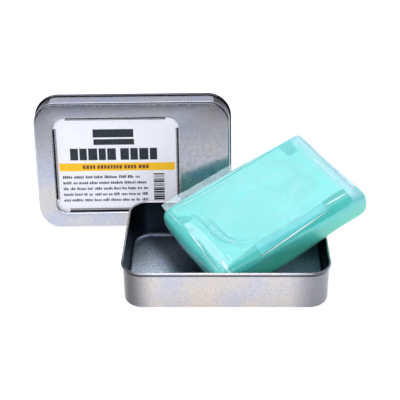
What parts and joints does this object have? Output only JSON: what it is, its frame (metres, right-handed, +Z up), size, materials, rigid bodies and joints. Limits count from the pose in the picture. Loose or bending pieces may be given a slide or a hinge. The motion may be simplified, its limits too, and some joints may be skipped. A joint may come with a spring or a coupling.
{
  "type": "clay bar kit",
  "caption": "Detailing clay slab wrapped in clear film, lying across an open slip-lid tin whose windowed lid with a plain printed card stands behind it.",
  "frame": {"origin": "middle of the tin base's flat underside", "axes": "+X to the right along the tin's width, +Y from the tin's front to its back, +Z up; the tin stands on the plane Z = 0 and the lid stands behind it to the left"},
  "size_m": [0.1585, 0.0905, 0.0662],
  "materials": {
    "tinplate": "satin",
    "clear_sheet": "gloss",
    "printed_card": "satin",
    "clay": "satin",
    "wrap_film": "gloss",
    "seal_tape": "gloss"
  },
  "bodies": {
    "base": {"tin_base": "tinplate"},
    "lid": {"lid_shell": "tinplate", "lid_window": "clear_sheet", "label_card": "printed_card"},
    "bar": {"clay_bar": "clay", "film_wrap": "wrap_film", "film_tape": "seal_tape"}
  },
  "joints": [
    {"name": "lid_lift", "type": "slide", "parent": "base", "child": "lid", "axis": [0, 0, 1], "range_m": [0, 0.08]},
    {"name": "bar_lift", "type": "slide", "parent": "base", "child": "bar", "axis": [0, 0, 1], "range_m": [0, 0.08]}
  ]
}
